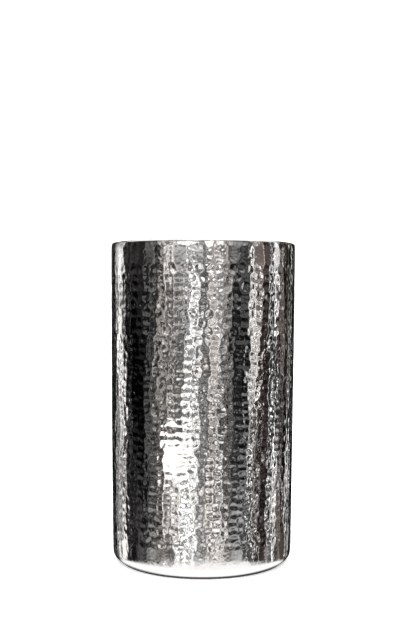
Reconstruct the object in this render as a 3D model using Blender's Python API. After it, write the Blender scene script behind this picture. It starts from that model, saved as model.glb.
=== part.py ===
# Double-walled champagne bucket (table-top bottle cooler).
#
# A hammered, slightly tapered outer wall and a smooth inner liner hang from
# one polished rim ring.  A pressed base disc closes the space between the
# walls, a soft pad on it carries the liner's floor, a small plug closes the
# disc's vent hole, and a non-slip ring under the disc stands on the table.
#
# Frame: metres, +Z up, origin on the table at the centre of the foot ring.
# Every piece is a solid of revolution about Z.

import math

import bmesh
import bpy

# ---------------------------------------------------------------- dimensions
HEIGHT = 0.2060            # table to the top of the rim
RIM_RADIUS = 0.0600        # outside radius at the rim
BASE_RADIUS = 0.0578       # outside radius the taper reaches at table level
TAPER_POWER = 1.6          # the taper is gentle at the rim and grows downward
FACETS = 60                # flats round each turned piece

CLEARANCE = 0.0003         # between neighbouring pieces

WALL_SHEET = 0.0009        # outer wall sheet
CORNER_RADIUS = 0.0060     # rolled lower corner of the outer wall
CORNER_SWEEP = 75.0        # degrees the corner turns under
CORNER_BOTTOM = 0.0010     # lowest point of the corner circle above the table

RIM_THICKNESS = 0.0013     # rim ring, over the two walls
RIM_INNER_RADIUS = 0.0540  # bore of the rim ring
RIM_OUTER_ROUND = 0.0012   # rounded outer edge
RIM_INNER_ROUND = 0.0010   # rounded inner edge
TONGUE_DEPTH = 0.0030      # locating tongue between the walls
TONGUE_WIDTH = 0.0014

LINER_SHEET = 0.0008
LINER_TOP_RADIUS = 0.0543  # bore of the liner at the top
LINER_FLOOR_RADIUS = 0.0505  # bore of the liner at the floor, before its corner
LINER_CORNER = 0.0080
LINER_FLOOR_Z = 0.0200     # top of the floor the bottle stands on
LINER_FLARE = 0.0010       # turn from the bore into the flange
BEAD_INNER, BEAD_OUTER = 0.0295, 0.0345  # stiffening bead pressed in the floor
BEAD_DEPTH = 0.0008

FOOT_THICKNESS = 0.0028    # non-slip ring
FOOT_WIDTH = 0.0052
FOOT_CHAMFER = 0.0004

DISC_SHEET = 0.0008        # pressed base disc
DISC_RADIUS = 0.0543
DISC_FLANGE = 0.0472       # inner edge of the flange that seats on the corner
DISC_STEP = 0.0025         # height and width of the step up to the centre
VENT_RADIUS = 0.0030       # vent hole in the middle of the disc

PLUG_STEM = 0.0027
PLUG_HEAD = 0.0046
PLUG_HEAD_THICKNESS = 0.0012
PLUG_BARB = 0.0037
PLUG_TOP = 0.0022          # barb height above the disc
PLUG_FACETS = 24

PAD_RADIUS = 0.0400
PAD_BORE = 0.0080
PAD_CHAMFER = 0.0010


# ------------------------------------------------------------------- helpers
def wall_radius(z):
    """Outside radius of the tapered wall at height z."""
    drop = (HEIGHT - z) / HEIGHT
    return RIM_RADIUS - (RIM_RADIUS - BASE_RADIUS) * drop ** TAPER_POWER


def arc(cx, cz, radius, start, end, steps):
    """Points of a circular arc in the X-Z section, angles in degrees."""
    points = []
    for i in range(steps + 1):
        a = math.radians(start + (end - start) * i / steps)
        points.append((cx + radius * math.cos(a), cz + radius * math.sin(a)))
    return points


def material(name, colour, metallic, roughness):
    mat = bpy.data.materials.new(name)
    mat.use_nodes = True
    shader = mat.node_tree.nodes["Principled BSDF"]
    shader.inputs["Base Color"].default_value = (*colour, 1.0)
    shader.inputs["Metallic"].default_value = metallic
    shader.inputs["Roughness"].default_value = roughness
    mat.diffuse_color = (*colour, 1.0)
    return mat


def turned(name, section, mat, facets=FACETS):
    """Turn a section (radius, height) about Z.

    A section whose two ends lie on the axis stays open there and closes when
    turned; any other section is closed into a loop first.
    """
    bm = bmesh.new()
    verts = [bm.verts.new((r, 0.0, z)) for r, z in section]
    on_axis = section[0][0] < 1e-9 and section[-1][0] < 1e-9
    pairs = list(zip(verts[:-1], verts[1:]))
    if not on_axis:
        pairs.append((verts[-1], verts[0]))
    edges = [bm.edges.new(pair) for pair in pairs]
    bmesh.ops.spin(
        bm,
        geom=verts + edges,
        cent=(0.0, 0.0, 0.0),
        axis=(0.0, 0.0, 1.0),
        dvec=(0.0, 0.0, 0.0),
        angle=2.0 * math.pi,
        steps=facets,
        use_merge=True,
    )
    bmesh.ops.remove_doubles(bm, verts=bm.verts, dist=1e-6)
    bmesh.ops.dissolve_degenerate(bm, edges=bm.edges, dist=1e-7)
    bmesh.ops.recalc_face_normals(bm, faces=bm.faces)
    mesh = bpy.data.meshes.new(name)
    bm.to_mesh(mesh)
    bm.free()
    mesh.shade_smooth()
    mesh.set_sharp_from_angle(angle=math.radians(35.0))
    obj = bpy.data.objects.new(name, mesh)
    obj.data.materials.append(mat)
    bpy.context.scene.collection.objects.link(obj)
    obj.parent = root
    return obj


# --------------------------------------------------------------- clean scene
for old in list(bpy.data.objects):
    bpy.data.objects.remove(old, do_unlink=True)

root = bpy.data.objects.new("champagne_bucket", None)
bpy.context.scene.collection.objects.link(root)

polished_steel = material("polished_steel", (0.80, 0.79, 0.78), 1.0, 0.07)
satin_steel = material("satin_steel", (0.62, 0.62, 0.61), 1.0, 0.30)
rubber = material("dark_rubber", (0.035, 0.034, 0.033), 0.0, 0.65)
foam = material("grey_foam", (0.20, 0.20, 0.21), 0.0, 0.90)

# ---------------------------------------------------------------- outer wall
# One sheet: straight-looking taper, a rolled lower corner, open underneath.
wall_top = HEIGHT - RIM_THICKNESS - CLEARANCE
corner_z = CORNER_BOTTOM + CORNER_RADIUS
corner_r = wall_radius(corner_z) - CORNER_RADIUS
levels = [wall_top + (corner_z - wall_top) * i / 5 for i in range(5)]
section = [(wall_radius(z), z) for z in levels]
section += arc(corner_r, corner_z, CORNER_RADIUS, 0.0, -CORNER_SWEEP, 5)
section += arc(corner_r, corner_z, CORNER_RADIUS - WALL_SHEET, -CORNER_SWEEP, 0.0, 4)
section += [(wall_radius(z) - WALL_SHEET, z) for z in reversed(levels)]
turned("outer_wall", section, polished_steel)

# ------------------------------------------------------------------ rim ring
# A polished cap over both walls, with a tongue that drops between them.
rim_base = HEIGHT - RIM_THICKNESS
tongue_outer = wall_radius(rim_base) - WALL_SHEET - CLEARANCE
tongue_inner = tongue_outer - TONGUE_WIDTH
section = [(RIM_RADIUS, rim_base)]
section += arc(RIM_RADIUS - RIM_OUTER_ROUND, HEIGHT - RIM_OUTER_ROUND,
               RIM_OUTER_ROUND, 0.0, 90.0, 4)
section += arc(RIM_INNER_RADIUS + RIM_INNER_ROUND, HEIGHT - RIM_INNER_ROUND,
               RIM_INNER_ROUND, 90.0, 180.0, 3)
section += [
    (RIM_INNER_RADIUS, rim_base),
    (tongue_inner, rim_base),
    (tongue_inner, rim_base - TONGUE_DEPTH),
    (tongue_outer, rim_base - TONGUE_DEPTH),
    (tongue_outer, rim_base),
]
turned("rim_ring", section, polished_steel)

# --------------------------------------------------------------- inner liner
# A deep cup hanging from its flange under the rim ring.
flange_top = rim_base - CLEARANCE
flange_edge = tongue_inner - CLEARANCE
flare_z = flange_top - LINER_FLARE
bead_run = BEAD_DEPTH * 1.4


def liner_floor(z):
    """The floor with its pressed ring bead, from the axis outward."""
    return [
        (0.0, z),
        (BEAD_INNER, z),
        (BEAD_INNER + bead_run, z - BEAD_DEPTH),
        (BEAD_OUTER - bead_run, z - BEAD_DEPTH),
        (BEAD_OUTER, z),
    ]


inside = liner_floor(LINER_FLOOR_Z)
inside += arc(LINER_FLOOR_RADIUS - LINER_CORNER, LINER_FLOOR_Z + LINER_CORNER,
              LINER_CORNER, -90.0, 0.0, 4)
inside += [(LINER_TOP_RADIUS, flare_z)]
inside += arc(LINER_TOP_RADIUS + LINER_FLARE, flare_z, LINER_FLARE, 150.0, 90.0, 2)
outside = [(flange_edge, flange_top), (flange_edge, flange_top - LINER_SHEET)]
outside += [(LINER_TOP_RADIUS + LINER_SHEET, flange_top - LINER_SHEET - 0.0004)]
outside += arc(LINER_FLOOR_RADIUS - LINER_CORNER, LINER_FLOOR_Z + LINER_CORNER,
               LINER_CORNER + LINER_SHEET, 0.0, -90.0, 4)
outside += list(reversed(liner_floor(LINER_FLOOR_Z - LINER_SHEET)))
turned("inner_liner", inside + outside, satin_steel)

# ----------------------------------------------------------------- base disc
# A pressed pan: the flange seats inside the rolled corner, the centre is
# raised so that only the foot ring meets the table.
disc_low = FOOT_THICKNESS + CLEARANCE
step_r = DISC_FLANGE - DISC_STEP
disc_high = disc_low + DISC_STEP
section = [
    (DISC_RADIUS, disc_low),
    (DISC_RADIUS, disc_low + DISC_SHEET),
    (DISC_FLANGE - 0.0003, disc_low + DISC_SHEET),
    (step_r - 0.0003, disc_high + DISC_SHEET),
    (VENT_RADIUS, disc_high + DISC_SHEET),
    (VENT_RADIUS, disc_high),
    (step_r, disc_high),
    (DISC_FLANGE, disc_low),
]
turned("base_disc", section, satin_steel)

# ----------------------------------------------------------------- foot ring
# Sits in the mouth of the rolled corner and stands 1 mm proud of it.
mouth = corner_r + (CORNER_RADIUS - WALL_SHEET) * math.cos(math.radians(CORNER_SWEEP))
foot_outer = mouth - CLEARANCE
foot_inner = foot_outer - FOOT_WIDTH
c = FOOT_CHAMFER
section = [
    (foot_outer, c),
    (foot_outer, FOOT_THICKNESS),
    (foot_inner, FOOT_THICKNESS),
    (foot_inner, c),
    (foot_inner + c, 0.0),
    (foot_outer - c, 0.0),
]
turned("foot_ring", section, rubber)

# ----------------------------------------------------------------- vent plug
disc_top = disc_high + DISC_SHEET
head_top = disc_high - CLEARANCE
section = [
    (0.0, head_top - PLUG_HEAD_THICKNESS),
    (PLUG_HEAD - 0.0005, head_top - PLUG_HEAD_THICKNESS),
    (PLUG_HEAD, head_top - PLUG_HEAD_THICKNESS + 0.0005),
    (PLUG_HEAD, head_top),
    (PLUG_STEM, head_top),
    (PLUG_STEM, disc_top + CLEARANCE),
    (PLUG_BARB, disc_top + CLEARANCE),
    (PLUG_STEM - 0.0005, disc_top + PLUG_TOP),
    (0.0, disc_top + PLUG_TOP),
]
turned("vent_plug", section, rubber, PLUG_FACETS)

# --------------------------------------------------------------- support pad
# Fills the space between the base disc and the liner's floor.
pad_low = disc_top + CLEARANCE
pad_high = LINER_FLOOR_Z - LINER_SHEET - BEAD_DEPTH - CLEARANCE
c = PAD_CHAMFER
section = [
    (PAD_BORE, pad_low),
    (PAD_BORE, pad_high),
    (PAD_RADIUS - c, pad_high),
    (PAD_RADIUS, pad_high - c),
    (PAD_RADIUS, pad_low + c),
    (PAD_RADIUS - c, pad_low),
]
turned("support_pad", section, foam)
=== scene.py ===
"""Looks of the hammered champagne bucket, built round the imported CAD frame."""
import math

import bpy
import numpy as np
from mathutils import Matrix, Vector


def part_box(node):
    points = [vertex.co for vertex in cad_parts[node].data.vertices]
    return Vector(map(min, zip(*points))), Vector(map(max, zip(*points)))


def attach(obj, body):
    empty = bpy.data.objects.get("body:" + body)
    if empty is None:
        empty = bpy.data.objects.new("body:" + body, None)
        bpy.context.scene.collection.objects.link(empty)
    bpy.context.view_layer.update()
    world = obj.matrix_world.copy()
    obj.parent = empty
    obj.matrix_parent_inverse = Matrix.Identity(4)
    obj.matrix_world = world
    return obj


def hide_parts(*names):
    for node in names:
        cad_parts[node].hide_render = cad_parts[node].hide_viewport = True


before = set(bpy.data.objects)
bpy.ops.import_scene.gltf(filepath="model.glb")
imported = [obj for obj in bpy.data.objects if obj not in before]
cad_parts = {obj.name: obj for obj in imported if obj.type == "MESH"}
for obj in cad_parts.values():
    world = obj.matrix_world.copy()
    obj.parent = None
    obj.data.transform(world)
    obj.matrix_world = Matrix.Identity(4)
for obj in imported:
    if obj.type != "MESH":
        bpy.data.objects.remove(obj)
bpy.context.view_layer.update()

MM = 0.001

# ------------------------------------------------------------------ the frame
WALL_LO, WALL_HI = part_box("outer_wall")
RIM_LO, RIM_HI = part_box("rim_ring")
LINER_LO, LINER_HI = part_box("inner_liner")
DISC_LO, DISC_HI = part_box("base_disc")
FOOT_LO, FOOT_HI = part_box("foot_ring")
PLUG_LO, PLUG_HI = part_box("vent_plug")

HEIGHT = RIM_HI.z                 # 206 mm
RIM_R = RIM_HI.x                  # 60 mm
BASE_R = 0.0578                   # radius the taper reaches at table level
TAPER_POWER = 1.6
CORNER_R = 0.006
CORNER_SWEEP = 75.0
CORNER_Z = 0.007
SHEET = 0.0009
WALL_TOP = WALL_HI.z
FLOOR_Z = 0.020


def wall_radius(z):
    drop = np.clip((HEIGHT - np.asarray(z, float)) / HEIGHT, 0.0, 1.0)
    return RIM_R - (RIM_R - BASE_R) * drop ** TAPER_POWER


def arc(cx, cz, r, a0, a1, n):
    t = np.radians(np.linspace(a0, a1, n + 1))
    return [(cx + r * math.cos(a), cz + r * math.sin(a)) for a in t]


def smooth(t):
    t = np.clip(t, 0.0, 1.0)
    return t * t * (3.0 - 2.0 * t)


# --------------------------------------------------------------- mesh helpers
def grid_mesh(name, co, closed_rows=True, sharp=None):
    """A tube of rows x columns points, closed round the axis; the rows close into a loop too."""
    rows, cols = co.shape[:2]
    verts = co.reshape(-1, 3)
    i = np.arange(rows if closed_rows else rows - 1)
    j = np.arange(cols)
    I, J = np.meshgrid(i, j, indexing="ij")
    I2, J2 = (I + 1) % rows, (J + 1) % cols
    # rows run down the outside and back up the inside, so this order faces outward
    quads = np.stack([I * cols + J, I2 * cols + J, I2 * cols + J2, I * cols + J2], -1).reshape(-1, 4)
    mesh = bpy.data.meshes.new(name)
    mesh.vertices.add(len(verts))
    mesh.vertices.foreach_set("co", verts.astype(np.float32).ravel())
    mesh.loops.add(len(quads) * 4)
    mesh.loops.foreach_set("vertex_index", quads.astype(np.int32).ravel())
    mesh.polygons.add(len(quads))
    mesh.polygons.foreach_set("loop_start", np.arange(0, len(quads) * 4, 4, dtype=np.int32))
    mesh.update(calc_edges=True)
    mesh.validate()
    mesh.shade_smooth()
    if sharp:
        mesh.set_sharp_from_angle(angle=math.radians(sharp))
    obj = bpy.data.objects.new(name, mesh)
    bpy.context.scene.collection.objects.link(obj)
    return obj


def lathe(name, section, segments, sharp=40.0):
    """Turns a section (radius, height) about Z; ends on the axis become a cap of triangles."""
    section = [(max(r, 0.0), z) for r, z in section]
    on_axis = section[0][0] < 1e-9 and section[-1][0] < 1e-9
    verts, rings = [], []
    for r, z in section:
        if r < 1e-9:
            rings.append([len(verts)])
            verts.append((0.0, 0.0, z))
        else:
            ring = []
            for k in range(segments):
                a = 2.0 * math.pi * k / segments
                ring.append(len(verts))
                verts.append((r * math.cos(a), r * math.sin(a), z))
            rings.append(ring)
    faces = []
    pairs = list(zip(rings[:-1], rings[1:]))
    if not on_axis:
        pairs.append((rings[-1], rings[0]))
    for a, b in pairs:
        for k in range(segments):
            k2 = (k + 1) % segments
            if len(a) == 1 and len(b) == 1:
                continue
            if len(a) == 1:
                faces.append((a[0], b[k], b[k2]))
            elif len(b) == 1:
                faces.append((a[k], b[0], a[k2]))
            else:
                faces.append((a[k], b[k], b[k2], a[k2]))
    mesh = bpy.data.meshes.new(name)
    mesh.from_pydata(verts, [], faces)
    mesh.update()
    # outward faces: a closed body has a positive volume
    vol = 0.0
    for p in mesh.polygons:
        vs = [mesh.vertices[v].co for v in p.vertices]
        for q in range(1, len(vs) - 1):
            vol += vs[0].dot(vs[q].cross(vs[q + 1]))
    if vol < 0:
        mesh.flip_normals()
    mesh.shade_smooth()
    mesh.set_sharp_from_angle(angle=math.radians(sharp))
    obj = bpy.data.objects.new(name, mesh)
    bpy.context.scene.collection.objects.link(obj)
    return obj


# ------------------------------------------------------------ hammered relief
rng = np.random.default_rng(7)

COLUMNS = 72                      # marks round the wall, about 5.1 mm apart
ROW_PITCH = 4.75 * MM
BAND_TOP = 0.1905                 # the hammered field ends here; a smooth band follows
BAND_LOW = 0.0190


def make_rows():
    """Every hammer mark: its row height, azimuth, depth, and the radius of its hollow each way."""
    rows = []
    # tall shallow marks under the rim and above the foot
    rows.append(dict(z=0.1975, hh=6.6 * MM, n=46, depth=0.100 * MM, sd=0.28, jx=0.22, jz=0.9 * MM, w=4.1 * MM))
    edge = BAND_TOP
    while edge > BAND_LOW + 0.5 * ROW_PITCH:
        pitch = ROW_PITCH + 0.6 * MM * float(smooth((edge - 0.125) / 0.030))
        z = edge - 0.5 * pitch + rng.normal(0, 0.16 * MM)
        edge -= pitch
        rows.append(dict(z=z, hh=pitch * 0.5, n=COLUMNS, depth=0.145 * MM, sd=0.24, jx=0.15, jz=0.38 * MM, w=2.50 * MM))
    rows.append(dict(z=0.0130, hh=6.0 * MM, n=46, depth=0.075 * MM, sd=0.28, jx=0.22, jz=0.8 * MM, w=4.0 * MM))
    phase = 0.0
    out = []
    for r in rows:
        n = r["n"]
        step = 2 * math.pi / n
        phase += rng.normal(0, 0.16) * step
        th = phase + step * (np.arange(n) + rng.normal(0, r["jx"], n))
        zz = r["z"] + rng.normal(0, r["jz"], n)
        d = r["depth"] * np.exp(rng.normal(0, r["sd"], n))
        rx = (r["w"] ** 2) / (2 * r["depth"]) * np.exp(rng.normal(0, 0.16, n))
        rz = (r["hh"] ** 2) / (2 * r["depth"]) * np.exp(rng.normal(0, 0.16, n)) * 1.05
        skew = rng.normal(0, 0.10, n)
        out.append(dict(th=np.mod(th, 2 * math.pi), z=zz, d=d, rx=rx, rz=rz, skew=skew, hh=r["hh"], zc=r["z"], step=step))
    return out


ROWS = make_rows()
WAVES = []
for m in (3, 4, 5, 6, 7, 8, 9, 11, 13):
    for _ in range(2):
        WAVES.append((m, rng.uniform(-1, 1) * 2 * math.pi / 0.110, rng.uniform(0, 2 * math.pi), rng.normal(0, 1) * 0.0205 * MM * (7.0 / m) ** 0.8))
KAPPA = 1.0 / (0.011 * MM)


def relief(theta, z):
    """Depth of the hammered surface below the nominal wall, in metres, at arrays theta and z."""
    theta, z = np.broadcast_arrays(theta, z)
    best = np.zeros(theta.shape)
    acc = np.zeros(theta.shape)
    radius = wall_radius(z)
    # soft maximum of the hollows; a floor near zero keeps untouched metal level
    acc += np.exp(KAPPA * (-0.012 * MM) * np.ones(theta.shape))
    for r in ROWS:
        rows_hit = np.abs(z - r["zc"]) < 2.4 * r["hh"] + 1.2 * MM
        if not rows_hit.any():
            continue
        t, zz, rad = theta[rows_hit], z[rows_hit], radius[rows_hit]
        order = np.argsort(r["th"])
        ths = r["th"][order]
        pos = np.searchsorted(ths, np.mod(t, 2 * math.pi))
        part = np.zeros(t.shape)
        n = len(ths)
        for off in (-2, -1, 0, 1):
            k = order[(pos + off) % n]
            dth = np.mod(t - r["th"][k] + math.pi, 2 * math.pi) - math.pi
            dz = zz - r["z"][k]
            dx = dth * rad + r["skew"][k] * dz
            f = r["d"][k] - dx * dx / (2 * r["rx"][k]) - dz * dz / (2 * r["rz"][k])
            part += np.exp(np.clip(KAPPA * f, -60, 60))
        acc[rows_hit] += part
    depth = np.log(acc) / KAPPA
    wave = np.zeros(theta.shape)
    for m, kz, ph, a in WAVES:
        wave += a * np.cos(m * theta + kz * z + ph)
    top = smooth((WALL_TOP - 0.0002 - z) / 0.0022)
    low = smooth((z - CORNER_Z + 0.0005) / 0.0060)
    env = top * low
    return (depth + wave - 0.10 * MM) * env


def hammered_wall():
    cols = 420
    theta = np.linspace(0, 2 * math.pi, cols, endpoint=False)
    n_body = 206
    z_body = np.linspace(WALL_TOP, CORNER_Z, n_body)
    R = wall_radius(z_body)
    corner_r = float(wall_radius(CORNER_Z)) - CORNER_R
    rows = []
    T, Z = np.meshgrid(theta, z_body, indexing="xy")
    D = relief(T, Z)
    r_out = R[:, None] - D
    rows.append(np.stack([r_out * np.cos(T), r_out * np.sin(T), Z], -1))
    ring = []
    for r, z in arc(corner_r, CORNER_Z, CORNER_R, -8.0, -CORNER_SWEEP, 9):
        ring.append((r, z))
    # rounded raw edge of the sheet, then the inner face
    ex, ez = arc(corner_r, CORNER_Z, CORNER_R - SHEET / 2, -CORNER_SWEEP, -CORNER_SWEEP, 1)[0]
    for a in (-CORNER_SWEEP - 30, -CORNER_SWEEP - 75, -CORNER_SWEEP - 120, -CORNER_SWEEP - 158):
        # small half circle round the sheet's edge
        ring.append((ex + SHEET / 2 * 0.98 * math.cos(math.radians(a)), ez + SHEET / 2 * 0.98 * math.sin(math.radians(a))))
    ring += arc(corner_r, CORNER_Z, CORNER_R - SHEET, -CORNER_SWEEP + 3, 0.0, 6)
    for z in np.linspace(CORNER_Z + 0.012, WALL_TOP - 0.0015, 9):
        ring.append((float(wall_radius(z)) - SHEET, z))
    ring.append((float(wall_radius(WALL_TOP)) - SHEET, WALL_TOP - 0.0002))
    ring.append((float(wall_radius(WALL_TOP)) - SHEET + 0.0002, WALL_TOP))
    ring = np.array(ring)
    block = np.stack([ring[:, 0][:, None] * np.cos(theta), ring[:, 0][:, None] * np.sin(theta), np.repeat(ring[:, 1][:, None], cols, 1)], -1)
    rows.append(block)
    co = np.concatenate(rows, 0)
    obj = grid_mesh("hammered_wall", co, True, sharp=60.0)
    # depth of each point below its neighbourhood's high ground, for the tone of the hollows
    depth = np.zeros(co.shape[:2])
    depth[:n_body] = np.clip((D + 0.22 * MM) / (0.30 * MM), 0, 1)
    attr = obj.data.attributes.new("hollow", "FLOAT", "POINT")
    attr.data.foreach_set("value", depth.astype(np.float32).ravel())
    return obj


wall = hammered_wall()

# ------------------------------------------------------------------ rim ring
rim_base = RIM_HI.z - 0.0013
tongue_o = float(wall_radius(rim_base)) - SHEET - 0.0003
tongue_i = tongue_o - 0.0014
sec = [(RIM_R - 0.00012, rim_base)]
sec += arc(RIM_R - 0.0012, HEIGHT - 0.0012, 0.0012, 0.0, 84.0, 14)
sec += [(0.0580, HEIGHT), (0.0565, HEIGHT), (0.0556, HEIGHT)]
sec += arc(0.0540 + 0.0010, HEIGHT - 0.0010, 0.0010, 95.0, 180.0, 12)
sec += [(0.0540, rim_base + 0.0002), (0.0542, rim_base), (tongue_i, rim_base), (tongue_i, RIM_LO.z + 0.0002),
        (tongue_i + 0.0002, RIM_LO.z), (tongue_o - 0.0002, RIM_LO.z), (tongue_o, RIM_LO.z + 0.0002), (tongue_o, rim_base)]
rim = lathe("polished_rim", sec, 360, sharp=50.0)

# --------------------------------------------------------------- inner liner
flange_top = rim_base - 0.0003
flange_edge = tongue_i - 0.0003
flare_z = flange_top - 0.0010
T = 0.0008
bead_mid, bead_half, bead_d = 0.0320, 0.0025, 0.0008


def floor_line(z, n=16):
    """The liner's floor from the axis outward, with its pressed ring bead."""
    pts = [(0.0, z), (0.006, z), (0.014, z), (0.022, z)]
    for i in range(n + 1):
        u = i / n
        r = bead_mid - bead_half + 2 * bead_half * u
        pts.append((r, z - bead_d * (0.5 - 0.5 * math.cos(2 * math.pi * u))))
    return pts


inside = floor_line(FLOOR_Z)
inside += [(0.0385, FLOOR_Z)]
inside += arc(0.0505 - 0.0080, FLOOR_Z + 0.0080, 0.0080, -90.0, -1.0, 14)
for i in range(1, 40):
    u = i / 40
    z = FLOOR_Z + 0.0080 + (flare_z - FLOOR_Z - 0.0080) * u
    inside.append((0.0505 + (0.0543 - 0.0505) * u, z))
inside += [(0.0543, flare_z)]
inside += arc(0.0553, flare_z, 0.0010, 165.0, 90.0, 5)
outside = [(flange_edge - 0.0002, flange_top), (flange_edge, flange_top - 0.0002), (flange_edge, flange_top - T + 0.0002), (flange_edge - 0.0002, flange_top - T)]
outside += [(0.0543 + T + 0.0006, flange_top - T), (0.0543 + T, flange_top - T - 0.0007)]
outside += arc(0.0505 - 0.0080, FLOOR_Z + 0.0080, 0.0080 + T, 0.0, -90.0, 14)
outside += [(0.0385, FLOOR_Z - T)]
outside += list(reversed(floor_line(FLOOR_Z - T)))
liner = lathe("spun_liner", inside + outside, 256, sharp=40.0)

# ----------------------------------------------------------------- base disc
dl, dh, ds = DISC_LO.z, DISC_HI.z, 0.0008
low_face = [(DISC_HI.x, dl), (0.0476, dl), (0.0470, dl + 0.0004), (0.0449, dh - ds - 0.0004), (0.0443, dh - ds)]


def disc_rings(z):
    """Pressed concentric ribs across the middle of the disc."""
    pts = []
    for mid, half, d in ((0.0375, 0.0020, 0.0007), (0.0255, 0.0020, 0.0007), (0.0135, 0.0016, 0.0006)):
        for i in range(11):
            u = i / 10
            pts.append((mid + half - 2 * half * u, z - d * (0.5 - 0.5 * math.cos(2 * math.pi * u))))
    return pts


under = low_face + disc_rings(dh - ds) + [(0.0032, dh - ds), (0.0030, dh - ds + 0.0002)]
over = [(0.0030, dh - 0.0002), (0.0032, dh)] + list(reversed(disc_rings(dh - 0.0000))) + [(0.0441, dh), (0.0447, dh - 0.0004), (0.0468, dl + ds + 0.0004), (0.0474, dl + ds), (DISC_HI.x, dl + ds)]
disc = lathe("pressed_base_disc", under + over, 220, sharp=40.0)

# ----------------------------------------------------------------- foot ring
fo, fi, ft = FOOT_HI.x, FOOT_HI.x - 0.0052, FOOT_HI.z
sec = arc(fo - 0.0005, 0.0005, 0.0005, 0.0, -90.0, 5) + [(fo - 0.0018, 0.0)]
for i in range(3):                 # three fine moulded grooves on the tread
    g = fo - 0.0019 - i * 0.00065
    sec += [(g, 0.0), (g - 0.00012, 0.00018), (g - 0.00030, 0.00018), (g - 0.00042, 0.0)]
sec += arc(fi + 0.0005, 0.0005, 0.0005, -90.0, -180.0, 5)
sec += [(fi, ft - 0.0002), (fi + 0.0002, ft), (fo - 0.0002, ft), (fo, ft - 0.0002)]
foot = lathe("nonslip_foot_ring", sec, 260, sharp=45.0)

# ----------------------------------------------------------------- vent plug
hb, ht = PLUG_LO.z, dh - ds - 0.0003
sec = [(0.0, hb + 0.00015), (0.0016, hb + 0.00005), (0.0030, hb)]
sec += arc(0.0046 - 0.0006, hb + 0.0006, 0.0006, -80.0, 0.0, 6)
sec += [(0.0046, ht - 0.0002), (0.0044, ht), (0.0027, ht), (0.0027, dh + 0.0003), (0.0035, dh + 0.0003), (0.0037, dh + 0.0005)]
sec += arc(0.0024, PLUG_HI.z - 0.0004, 0.0004, 40.0, 90.0, 4) + [(0.0, PLUG_HI.z)]
plug = lathe("vent_plug_moulded", sec, 64, sharp=45.0)


# ------------------------------------------------------------------ materials
class Mat:
    """A node material built up step by step."""

    def __init__(self, name):
        self.m = bpy.data.materials.new(name)
        self.m.use_nodes = True
        self.nt = self.m.node_tree
        self.bsdf = self.nt.nodes["Principled BSDF"]

    def node(self, kind, **kw):
        n = self.nt.nodes.new(kind)
        for k, v in kw.items():
            if k.startswith("in_"):
                key = k[3:]
                key = int(key) if key.isdigit() else key.replace("_", " ")
                n.inputs[key].default_value = v
            else:
                setattr(n, k, v)
        return n

    def link(self, a, b):
        self.nt.links.new(a, b)

    def coords(self):
        if not hasattr(self, "_tc"):
            self._tc = self.node("ShaderNodeTexCoord")
        return self._tc.outputs["Object"]

    def polar(self, a_scale, r_scale, z_scale):
        """(azimuth, radius, height) of the point, each scaled: lines run round the axis."""
        sep = self.node("ShaderNodeSeparateXYZ")
        self.link(self.coords(), sep.inputs[0])
        at = self.node("ShaderNodeMath", operation="ARCTAN2")
        self.link(sep.outputs["Y"], at.inputs[0]); self.link(sep.outputs["X"], at.inputs[1])
        sc = self.node("ShaderNodeMath", operation="MULTIPLY", in_1=a_scale)
        self.link(at.outputs[0], sc.inputs[0])
        ln = self.node("ShaderNodeVectorMath", operation="LENGTH")
        flat = self.node("ShaderNodeCombineXYZ")
        self.link(sep.outputs["X"], flat.inputs[0]); self.link(sep.outputs["Y"], flat.inputs[1])
        self.link(flat.outputs[0], ln.inputs[0])
        rs = self.node("ShaderNodeMath", operation="MULTIPLY", in_1=r_scale)
        self.link(ln.outputs["Value"], rs.inputs[0])
        zs = self.node("ShaderNodeMath", operation="MULTIPLY", in_1=z_scale)
        self.link(sep.outputs["Z"], zs.inputs[0])
        out = self.node("ShaderNodeCombineXYZ")
        self.link(sc.outputs[0], out.inputs[0]); self.link(rs.outputs[0], out.inputs[1]); self.link(zs.outputs[0], out.inputs[2])
        return out.outputs[0]

    def noise(self, scale, detail=4.0, rough=0.55, vec=None, dist=0.0):
        n = self.node("ShaderNodeTexNoise", in_Scale=scale, in_Detail=detail, in_Roughness=rough, in_Distortion=dist)
        self.link(vec if vec is not None else self.coords(), n.inputs["Vector"])
        return n.outputs["Fac"]

    def ramp(self, fac, stops, interp="LINEAR"):
        r = self.node("ShaderNodeValToRGB")
        r.color_ramp.interpolation = interp
        els = r.color_ramp.elements
        while len(els) > 1:
            els.remove(els[-1])
        els[0].position = stops[0][0]; els[0].color = self._c(stops[0][1])
        for p, c in stops[1:]:
            e = els.new(p); e.color = self._c(c)
        self.link(fac, r.inputs[0])
        return r.outputs["Color"]

    @staticmethod
    def _c(c):
        return (c, c, c, 1.0) if isinstance(c, (int, float)) else (*c, 1.0)

    def mix(self, kind, fac, a, b):
        n = self.node("ShaderNodeMix", data_type="RGBA", blend_type=kind)
        for sock, v in ((0, fac), (6, a), (7, b)):
            if isinstance(v, (int, float)):
                n.inputs[sock].default_value = v if sock == 0 else (v, v, v, 1.0)
            elif isinstance(v, tuple):
                n.inputs[sock].default_value = (*v, 1.0)
            else:
                self.link(v, n.inputs[sock])
        return n.outputs[2]

    def bump(self, height, strength, distance, normal=None):
        b = self.node("ShaderNodeBump", in_Strength=strength, in_Distance=distance)
        self.link(height, b.inputs["Height"])
        if normal is not None:
            self.link(normal, b.inputs["Normal"])
        return b.outputs["Normal"]

    def set(self, **kw):
        for k, v in kw.items():
            s = self.bsdf.inputs[k.replace("_", " ")]
            if isinstance(v, (int, float)):
                s.default_value = v
            elif isinstance(v, tuple):
                s.default_value = (*v, 1.0)
            else:
                self.link(v, s)
        return self.m


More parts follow.
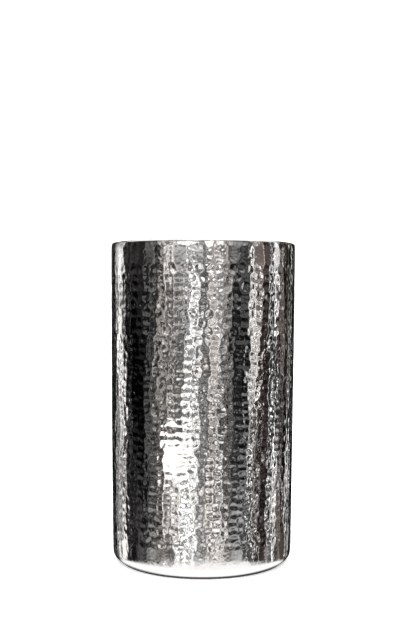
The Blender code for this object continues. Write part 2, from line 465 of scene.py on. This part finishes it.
def steel_hammered():
    m = Mat("hammered_polished_steel")
    hollow = m.node("ShaderNodeAttribute", attribute_name="hollow").outputs["Fac"]
    tone = m.ramp(hollow, [(0.0, (0.95, 0.945, 0.94)), (0.55, (0.90, 0.89, 0.88)), (1.0, (0.82, 0.80, 0.78))])
    haze = m.ramp(m.noise(34.0, 5.0, 0.6), [(0.35, (1.0, 1.0, 1.0)), (0.62, (0.97, 0.955, 0.94)), (0.75, (0.90, 0.875, 0.86))])
    m_color = m.mix("MULTIPLY", 1.0, tone, haze)
    scratch = m.noise(1.0, 3.0, 0.6, vec=m.polar(9.0, 500.0, 900.0))
    smear = m.noise(60.0, 4.0, 0.6)
    rough = m.ramp(m.mix("MIX", 0.35, smear, scratch), [(0.30, 0.030), (0.52, 0.050), (0.72, 0.115)])
    fine = m.noise(560.0, 0.0, 0.5)
    n1 = m.bump(fine, 0.12, 0.0004)
    n2 = m.bump(scratch, 0.030, 0.0002, n1)
    return m.set(Base_Color=m_color, Metallic=1.0, Roughness=rough, Normal=n2)


def steel_polished():
    m = Mat("mirror_polished_rim_steel")
    turn = m.noise(1.0, 4.0, 0.65, vec=m.polar(3.0, 1600.0, 1600.0))
    haze = m.noise(55.0, 4.0, 0.6)
    col = m.ramp(haze, [(0.35, (0.95, 0.945, 0.94)), (0.68, (0.88, 0.87, 0.86))])
    rough = m.ramp(m.mix("MIX", 0.5, haze, turn), [(0.32, 0.045), (0.55, 0.075), (0.72, 0.15)])
    n1 = m.bump(turn, 0.05, 0.0002)
    return m.set(Base_Color=col, Metallic=1.0, Roughness=rough, Normal=n1)


def steel_spun():
    m = Mat("satin_spun_steel")
    turn = m.noise(1.0, 5.0, 0.7, vec=m.polar(1.6, 2300.0, 1500.0))
    coarse = m.noise(1.0, 3.0, 0.5, vec=m.polar(0.8, 420.0, 300.0))
    haze = m.noise(28.0, 5.0, 0.6)
    c1 = m.ramp(turn, [(0.30, (0.60, 0.60, 0.595)), (0.70, (0.74, 0.74, 0.735))])
    c2 = m.ramp(haze, [(0.35, (1.0, 1.0, 1.0)), (0.72, (0.90, 0.89, 0.88))])
    rough = m.ramp(m.mix("MIX", 0.5, turn, haze), [(0.30, 0.20), (0.52, 0.28), (0.75, 0.40)])
    n1 = m.bump(turn, 0.22, 0.0002)
    n2 = m.bump(coarse, 0.12, 0.0003, n1)
    return m.set(Base_Color=m.mix("MULTIPLY", 1.0, c1, c2), Metallic=1.0, Roughness=rough, Normal=n2)


def rubber():
    m = Mat("dark_moulded_rubber")
    grain = m.noise(1400.0, 3.0, 0.6)
    dust = m.noise(70.0, 5.0, 0.65)
    col = m.ramp(dust, [(0.35, (0.022, 0.021, 0.021)), (0.62, (0.040, 0.039, 0.038)), (0.80, (0.085, 0.082, 0.078))])
    rough = m.ramp(dust, [(0.3, 0.52), (0.7, 0.78)])
    return m.set(Base_Color=col, Metallic=0.0, Roughness=rough, Normal=m.bump(grain, 0.35, 0.0002))


def foam():
    m = Mat("closed_cell_foam")
    vor = m.node("ShaderNodeTexVoronoi", in_Scale=700.0)
    m.link(m.coords(), vor.inputs["Vector"])
    cells = vor.outputs["Distance"]
    shade = m.noise(90.0, 4.0, 0.6)
    col = m.mix("MULTIPLY", 1.0, m.ramp(cells, [(0.0, (0.16, 0.16, 0.17)), (0.6, (0.27, 0.27, 0.28))]), m.ramp(shade, [(0.3, 1.0), (0.75, 0.85)]))
    return m.set(Base_Color=col, Metallic=0.0, Roughness=m.ramp(shade, [(0.3, 0.82), (0.7, 0.95)]), Normal=m.bump(cells, 0.6, 0.0004))


M_HAMMER, M_RIM, M_SPUN, M_RUBBER, M_FOAM = steel_hammered(), steel_polished(), steel_spun(), rubber(), foam()

PIECES = [
    (wall, "outer_wall", "polished_steel", M_HAMMER),
    (rim, "rim_ring", "polished_steel", M_RIM),
    (liner, "inner_liner", "satin_steel", M_SPUN),
    (disc, "base_disc", "satin_steel", M_SPUN),
    (foot, "foot_ring", "dark_rubber", M_RUBBER),
    (plug, "vent_plug", "dark_rubber", M_RUBBER),
]
for obj, node, slot, mat in PIECES:
    obj.data.materials.clear()
    obj.data.materials.append(mat)
    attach(obj, "root")
    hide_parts(node)

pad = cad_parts["support_pad"]
pad.data.materials.clear()
pad.data.materials.append(M_FOAM)


# --------------------------------------------------------------------- studio
def glossy_only(obj):
    """Reflectors are seen in the metal only; they neither light the floor nor show behind."""
    obj.visible_camera = False
    obj.visible_diffuse = False
    obj.visible_shadow = False
    obj.visible_transmission = False
    obj.visible_volume_scatter = False
    obj.visible_glossy = True


def tent_material(name, fine, coarse, amount, stretch=1.0):
    """Light from a crumpled fabric tent: the level is stored on the cloth, folds are noise."""
    mat = bpy.data.materials.new(name)
    mat.use_nodes = True
    nt = mat.node_tree
    nt.nodes.clear()
    out = nt.nodes.new("ShaderNodeOutputMaterial")
    em = nt.nodes.new("ShaderNodeEmission")
    nt.links.new(em.outputs[0], out.inputs[0])
    col = nt.nodes.new("ShaderNodeAttribute")
    col.attribute_name = "tint"
    nt.links.new(col.outputs["Color"], em.inputs["Color"])
    lev = nt.nodes.new("ShaderNodeAttribute")
    lev.attribute_name = "level"
    crumple = nt.nodes.new("ShaderNodeAttribute")
    crumple.attribute_name = "crumple"
    tc = nt.nodes.new("ShaderNodeTexCoord")
    place = nt.nodes.new("ShaderNodeMapping")
    place.inputs["Scale"].default_value = (1.0, 1.0, stretch)
    nt.links.new(tc.outputs["Object"], place.inputs["Vector"])
    strength = lev.outputs["Fac"]
    for scale, detail, lo, hi in ((coarse, 1.0, 1.0 - amount * 0.6, 1.0 + amount * 0.6), (fine, 2.0, 1.0 - amount, 1.0 + amount)):
        no = nt.nodes.new("ShaderNodeTexNoise")
        no.inputs["Scale"].default_value = scale
        no.inputs["Detail"].default_value = detail
        nt.links.new(place.outputs[0], no.inputs["Vector"])
        mr = nt.nodes.new("ShaderNodeMapRange")
        mr.inputs["From Min"].default_value = 0.36
        mr.inputs["From Max"].default_value = 0.64
        mr.inputs["To Min"].default_value = lo
        mr.inputs["To Max"].default_value = hi
        nt.links.new(no.outputs["Fac"], mr.inputs["Value"])
        fold = nt.nodes.new("ShaderNodeMath")
        fold.operation = "SUBTRACT"
        fold.inputs[1].default_value = 1.0
        nt.links.new(mr.outputs[0], fold.inputs[0])
        deep = nt.nodes.new("ShaderNodeMath")
        deep.operation = "MULTIPLY_ADD"
        deep.inputs[2].default_value = 1.0
        nt.links.new(fold.outputs[0], deep.inputs[0])
        nt.links.new(crumple.outputs["Fac"], deep.inputs[1])
        mul = nt.nodes.new("ShaderNodeMath")
        mul.operation = "MULTIPLY"
        nt.links.new(strength, mul.inputs[0])
        nt.links.new(deep.outputs[0], mul.inputs[1])
        strength = mul.outputs[0]
    nt.links.new(strength, em.inputs["Strength"])
    return mat


WHITE, WARM, BROWN = (1.0, 1.0, 1.0), (1.0, 0.95, 0.92), (1.0, 0.82, 0.76)
# Upright strips of the far surround. Azimuth from, to (0 faces the camera, + is to its right),
# the light level at five elevations, and the tint.
ELEVATIONS = (-20, -12, -5, 2, 9)
STRIPS = [
    (-180, -172, (0.02, 0.02, 0.02, 0.02, 0.02), WHITE),
    (-172, -166, (0.5, 0.5, 0.5, 0.5, 0.5), WHITE),
    (-166, -139, (0.02, 0.01, 0.01, 0.01, 0.02), WHITE),
    (-139, -130, (0.30, 0.20, 0.12, 0.20, 0.45), WHITE),
    (-130, -120, (0.7, 0.95, 0.60, 0.50, 0.70), WHITE),
    (-120, -111, (0.75, 1.05, 0.70, 0.60, 0.60), WHITE),
    (-111, -104, (0.12, 0.05, 0.02, 0.03, 0.07), WHITE),
    (-104, -90, (0.05, 0.01, 0.0, 0.01, 0.05), WHITE),
    (-90, -74, (0.09, 0.02, 0.0, 0.01, 0.04), WHITE),
    (-74, -57, (0.22, 0.12, 0.05, 0.08, 0.12), WHITE),
    (-57, -52, (0.40, 0.35, 0.15, 0.35, 0.45), WARM),
    (-52, -42, (0.55, 0.45, 0.30, 0.45, 0.65), WARM),
    (-42, -31, (0.75, 0.45, 0.30, 0.25, 0.60), WARM),
    (-31, -21, (1.4, 1.15, 0.40, 0.14, 0.75), WHITE),
    (-21, -13, (1.4, 1.2, 0.95, 0.60, 1.1), WHITE),
    (-13, -4, (1.1, 0.6, 0.95, 0.75, 1.4), WHITE),
    (-4, 4, (0.8, 0.20, 0.08, 0.12, 0.95), WHITE),
    (4, 12, (1.1, 0.40, 0.42, 0.42, 1.3), WARM),
    (12, 21, (1.3, 0.65, 0.34, 0.34, 1.2), WARM),
    (21, 25, (0.9, 0.40, 0.30, 0.40, 0.9), WHITE),
    (25, 36, (0.6, 0.35, 0.10, 0.12, 0.6), WARM),
    (36, 58, (0.35, 0.10, 0.02, 0.04, 0.25), WHITE),
    (58, 64, (0.10, 0.28, 0.42, 0.42, 0.65), WHITE),
    (64, 72, (0.04, 0.28, 0.40, 0.60, 0.65), WARM),
    (72, 78, (0.03, 0.12, 0.12, 0.12, 0.2), BROWN),
    (78, 88, (0.05, 0.04, 0.03, 0.04, 0.10), BROWN),
    (88, 92, (0.15, 0.45, 0.25, 0.20, 0.3), WHITE),
    (92, 97, (0.08, 0.20, 0.02, 0.04, 0.1), WHITE),
    (97, 104, (0.35, 0.60, 0.28, 0.60, 0.9), WHITE),
    (104, 110, (0.25, 0.35, 0.06, 0.10, 0.15), WHITE),
    (110, 120, (0.15, 0.10, 0.08, 0.10, 0.12), BROWN),
    (120, 128, (0.10, 0.02, 0.01, 0.02, 0.03), BROWN),
    (128, 134, (0.5, 0.40, 0.20, 0.20, 0.3), WHITE),
    (134, 138, (0.05, 0.02, 0.02, 0.02, 0.02), WHITE),
    (138, 142, (0.4, 0.25, 0.10, 0.10, 0.12), WHITE),
    (142, 168, (0.01, 0.01, 0.01, 0.01, 0.01), WHITE),
    (168, 172, (0.3, 0.3, 0.3, 0.3, 0.3), WHITE),
    (172, 180, (0.02, 0.02, 0.02, 0.02, 0.02), WHITE),
]
# thin light tubes: azimuth, width in degrees, level
TUBES = [
    (-133, 1.4, 0.8), (-123, 1.6, 1.0), (-99, 1.0, 0.25), (-65, 1.0, 0.3), (-48, 1.4, 1.0), (-36, 1.4, 1.1), (-17, 1.6, 1.3), (-9, 1.6, 1.3),
    (1, 1.2, 0.6), (9, 1.4, 1.1), (17, 1.4, 1.1), (30, 1.2, 0.7), (46, 1.0, 0.3), (61, 1.2, 1.8), (68, 1.2, 2.0), (75, 1.2, 1.0),
    (90, 1.6, 1.8), (100, 1.6, 2.2), (116, 1.2, 0.9), (131, 1.4, 1.0), (141, 1.4, 1.0),
    (-158, 1.2, 0.4), (-148, 1.2, 0.3), (150, 1.2, 0.3), (158, 1.2, 0.4),
]
# cards close to the bucket: azimuth from, to, height from, to (mm), level
CARDS = [
    ("low_reflector", -42, -17, 33, 67, 1.35),
]


def tent(name, radius, z0, z1, rows, level_fn, mat, cols=1080):
    """A round tent wall with the light level and tint stored at its points."""
    th = np.linspace(-180, 180, cols, endpoint=False)
    zz = np.linspace(z0, z1, rows)
    A, Z = np.meshgrid(th, zz, indexing="xy")
    rad = np.radians(A)
    co = np.stack([radius * np.sin(rad), -radius * np.cos(rad), Z], -1)
    obj = grid_mesh(name, co, closed_rows=False)
    level, tint = level_fn(A, Z)
    at = obj.data.attributes.new("level", "FLOAT", "POINT")
    at.data.foreach_set("value", level.astype(np.float32).ravel())
    elev = np.degrees(np.arctan2(Z - 0.10, FAR))
    # the cloth is crumpled at mid height and hangs smoother below and above
    crumple = 1.0 - 0.75 * smooth((-12.0 - elev) / 4.0) - 0.6 * smooth((elev - 2.0) / 3.0)
    cr = obj.data.attributes.new("crumple", "FLOAT", "POINT")
    cr.data.foreach_set("value", crumple.astype(np.float32).ravel())
    rgba = np.concatenate([tint, np.ones(tint.shape[:2] + (1,))], -1)
    ct = obj.data.attributes.new("tint", "FLOAT_COLOR", "POINT")
    ct.data.foreach_set("color", rgba.astype(np.float32).ravel())
    obj.data.materials.append(mat)
    glossy_only(obj)
    return obj


def band(x, a, b, soft):
    return smooth((x - a) / soft + 0.5) * smooth((b - x) / soft + 0.5)


def strip_light(A, Z):
    level = np.zeros(A.shape)
    tint = np.zeros(A.shape + (3,))
    weight = np.zeros(A.shape)
    elev = np.degrees(np.arctan2(Z - 0.10, FAR))
    for i, (a, b, lv, tn) in enumerate(STRIPS):
        lean = A + 1.0 * np.sin(elev * 0.35 + i) + 0.6 * np.sin(elev * 0.9 + 2.0 * i)
        w = band(lean, a, b, SOFT)
        if a == -180:
            w = smooth((b - lean) / SOFT + 0.5)
        if b == 180:
            w = smooth((lean - a) / SOFT + 0.5)
        here = STRIP_LEVEL * np.interp(elev, ELEVATIONS, lv)
        # bars across the strip, as window frames and shelves break up a real surround
        pitch = BAR_PITCHES[i % len(BAR_PITCHES)]
        slant = SLANT * (-1.0) ** i * (A - a) + 0.9 * np.sin(0.31 * A + 0.12 * elev + i)
        here = here * (1.0 + BARS * np.cos(2 * math.pi * (elev + 4.3 * i) / pitch + slant))
        level += w * here
        tint += (w * here)[..., None] * np.array(tn)
        weight += w
    level /= np.maximum(weight, 1e-6)
    tint /= np.maximum(weight, 1e-6)[..., None]
    for i, (a, width, lv) in enumerate(TUBES):
        lean = A + 1.0 * np.sin(elev * 0.35 + i) + 0.6 * np.sin(elev * 0.9 + 2.0 * i)
        w = np.exp(-((lean - a) / (0.5 * width)) ** 2) * lv * (1.0 + np.cos(2 * math.pi * (elev + 3.7 * i) / 9.0)) * TUBE_LEVEL
        level = level + w
        tint = tint + w[..., None]
    tint = tint / np.maximum(level, 1e-6)[..., None]
    return level, np.clip(tint, 0, 1)


def upper_light(A, Z):
    """White above the strips; behind the bucket it starts higher."""
    elev = np.degrees(np.arctan2(Z - 0.10, FAR))
    start = 26.0 + 14.0 * smooth((np.abs(A) - 115.0) / 25.0)
    return 0.05 + 1.15 * smooth((elev - start) / 5.0), np.ones(A.shape + (3,))


SOFT = 2.0
STRIP_LEVEL, TUBE_LEVEL = 0.78, 0.5
BARS, BAR_PITCHES, SLANT = 0.78, (22.0, 14.0, 19.0, 16.0), 0.20
FAR, NEAR = 1.5, 0.200
TOP = 0.80
tent("strip_tent", FAR, -0.90, TOP, 110, strip_light, tent_material("tent_cloth", 14.0, 4.0, 0.6))
tent("lower_tent", FAR, -3.2, -0.90, 100, strip_light, tent_material("lower_tent_cloth", 14.0, 4.0, 0.6), cols=720)
tent("upper_diffuser", FAR, TOP, 2.2, 30, upper_light, tent_material("diffuser_cloth", 1.2, 0.5, 0.10), cols=90)


def curved_card(name, psi0, psi1, z0, z1, level):
    """A small card on the near circle, bent to follow it."""
    th = np.linspace(psi0, psi1, 24)
    verts, faces = [], []
    for i, a in enumerate(np.radians(th)):
        verts += [(NEAR * math.sin(a), -NEAR * math.cos(a), z0 * MM), (NEAR * math.sin(a), -NEAR * math.cos(a), z1 * MM)]
        if i:
            faces.append((2 * i - 2, 2 * i, 2 * i + 1, 2 * i - 1))
    return lit_card(name, verts, faces, level, 30.0, 0.12)


def lit_card(name, verts, faces, level, scale, amount):
    mesh = bpy.data.meshes.new(name)
    mesh.from_pydata(verts, [], faces)
    mesh.update()
    at = mesh.attributes.new("level", "FLOAT", "POINT")
    at.data.foreach_set("value", [level] * len(verts))
    cr = mesh.attributes.new("crumple", "FLOAT", "POINT")
    cr.data.foreach_set("value", [1.0] * len(verts))
    ct = mesh.attributes.new("tint", "FLOAT_COLOR", "POINT")
    ct.data.foreach_set("color", [1.0] * (4 * len(verts)))
    obj = bpy.data.objects.new(name, mesh)
    bpy.context.scene.collection.objects.link(obj)
    mesh.materials.append(tent_material(name + "_cloth", scale, scale * 0.4, amount))
    glossy_only(obj)
    return obj


def round_card(name, radius, z, level):
    seg = 64
    verts = [(0, 0, z)] + [(radius * math.cos(2 * math.pi * k / seg), radius * math.sin(2 * math.pi * k / seg), z) for k in range(seg)]
    faces = [(0, 1 + (k + 1) % seg, 1 + k) for k in range(seg)]
    return lit_card(name, verts, faces, level, 1.0, 0.08)


round_card("overhead_softbox", FAR, 2.2, 1.15)
for spec in CARDS:
    curved_card(*spec)


# floor and backdrop, one smooth sweep
def floor_material(name, glow):
    mat = bpy.data.materials.new(name)
    mat.use_nodes = True
    nt = mat.node_tree
    b = nt.nodes["Principled BSDF"]
    tc = nt.nodes.new("ShaderNodeTexCoord")
    no = nt.nodes.new("ShaderNodeTexNoise")
    no.inputs["Scale"].default_value = 3.0
    nt.links.new(tc.outputs["Object"], no.inputs["Vector"])
    r = nt.nodes.new("ShaderNodeValToRGB")
    r.color_ramp.elements[0].color = (0.90, 0.90, 0.90, 1)
    r.color_ramp.elements[1].color = (0.94, 0.94, 0.94, 1)
    nt.links.new(no.outputs["Fac"], r.inputs[0])
    nt.links.new(r.outputs[0], b.inputs["Base Color"])
    b.inputs["Roughness"].default_value = 0.9
    b.inputs["Specular IOR Level"].default_value = 0.0
    b.inputs["Emission Color"].default_value = (1, 1, 1, 1)
    b.inputs["Emission Strength"].default_value = glow
    return mat


M_FLOOR = floor_material("pale_sweep", 0.30)


def mesh_object(name, verts, faces, mat):
    mesh = bpy.data.meshes.new(name)
    mesh.from_pydata(verts, [], faces)
    mesh.update()
    mesh.shade_smooth()
    obj = bpy.data.objects.new(name, mesh)
    bpy.context.scene.collection.objects.link(obj)
    mesh.materials.append(mat)
    return obj


Z_FLOOR = -0.0001
seg = 120
verts = [(0, 0, Z_FLOOR)]
for r, z in ((0.5, Z_FLOOR), (3.0, Z_FLOOR), (3.6, 0.35), (3.8, 3.2)):
    verts += [(r * math.cos(2 * math.pi * k / seg), r * math.sin(2 * math.pi * k / seg), z) for k in range(seg)]
faces = [(0, 1 + k, 1 + (k + 1) % seg) for k in range(seg)]
for s_ in range(3):
    for k in range(seg):
        q, w = 1 + s_ * seg + k, 1 + s_ * seg + (k + 1) % seg
        faces.append((q, q + seg, w + seg, w))
sweep = mesh_object("floor_and_backdrop", verts, faces, M_FLOOR)
sweep.visible_glossy = False


def floor_pool():
    """The lit patch of floor round the foot, as the metal sees it: white, fading out at its border."""
    rings, cols = 48, 120
    co = np.zeros((rings, cols, 3))
    cover = np.zeros((rings, cols))
    for i in range(rings):
        u = i / (rings - 1)
        for k in range(cols):
            a = 2 * math.pi * k / cols
            toward = max(0.0, -math.sin(a)) ** 2
            side = float(smooth((abs(math.sin(a)) - 0.22) / 0.22))
            r0 = 0.0585 + 0.0225 * toward
            r1 = 0.070 + 0.044 * toward
            r = 0.030 + (r1 - 0.030) * u
            co[i, k] = (r * math.cos(a), r * math.sin(a), Z_FLOOR + 0.00005)
            shade = float(smooth((r - 0.0505 - 0.0048 * (1.0 - toward)) / 0.0050))
            cover[i, k] = shade * side * (1.0 - float(smooth((r - r0) / (r1 - r0))))
    obj = grid_mesh("floor_pool", co, closed_rows=False)
    at = obj.data.attributes.new("cover", "FLOAT", "POINT")
    at.data.foreach_set("value", cover.astype(np.float32).ravel())
    mat = bpy.data.materials.new("floor_pool_light")
    mat.use_nodes = True
    nt = mat.node_tree
    nt.nodes.clear()
    out = nt.nodes.new("ShaderNodeOutputMaterial")
    mix = nt.nodes.new("ShaderNodeMixShader")
    clear = nt.nodes.new("ShaderNodeBsdfTransparent")
    glow = nt.nodes.new("ShaderNodeEmission")
    glow.inputs["Strength"].default_value = 1.15
    cov = nt.nodes.new("ShaderNodeAttribute")
    cov.attribute_name = "cover"
    nt.links.new(cov.outputs["Fac"], mix.inputs[0])
    nt.links.new(clear.outputs[0], mix.inputs[1])
    nt.links.new(glow.outputs[0], mix.inputs[2])
    nt.links.new(mix.outputs[0], out.inputs[0])
    obj.data.materials.append(mat)
    glossy_only(obj)


floor_pool()



def area(name, loc, target, size, energy):
    light = bpy.data.lights.new(name, "AREA")
    light.shape = "SQUARE"
    light.size = size
    light.energy = energy
    obj = bpy.data.objects.new(name, light)
    bpy.context.scene.collection.objects.link(obj)
    obj.location = loc
    d = Vector(target) - Vector(loc)
    obj.rotation_euler = d.to_track_quat("-Z", "Y").to_euler()
    obj.visible_glossy = False
    return obj


area("overhead_light", (0.0, 0.0, 2.6), (0, 0, 0), 3.0, 95.0)
area("key_light", (-1.6, -2.0, 2.0), (0, 0, 0.1), 1.6, 32.0)
area("fill_light", (1.8, -1.8, 1.6), (0, 0, 0.1), 1.8, 24.0)

world = bpy.data.worlds.new("studio")
bpy.context.scene.world = world
world.use_nodes = True
bg = world.node_tree.nodes["Background"]
bg.inputs[0].default_value = (1, 1, 1, 1)
bg.inputs[1].default_value = 0.25

# --------------------------------------------------------------------- camera
cam_data = bpy.data.cameras.new("camera")
cam = bpy.data.objects.new("camera", cam_data)
bpy.context.scene.collection.objects.link(cam)
CAM_DIST, CAM_HEIGHT, FOCAL_PX = 0.6631, 0.1660, 1009.2
PITCH, ROLL, OFFSET_PX = 0.00668, 0.00495, 5.085
cam_data.sensor_width = 36.0
cam_data.lens = FOCAL_PX / 624.0 * 36.0
cam_data.shift_x = OFFSET_PX / 624.0
cam_data.clip_start = 0.01
cam.matrix_world = (
    Matrix.Translation((0.0, -CAM_DIST, CAM_HEIGHT))
    @ Matrix.Rotation(math.radians(90.0) - PITCH, 4, "X")
    @ Matrix.Rotation(ROLL, 4, "Z")
)
bpy.context.scene.camera = cam
bpy.context.scene.view_settings.view_transform = "Standard"
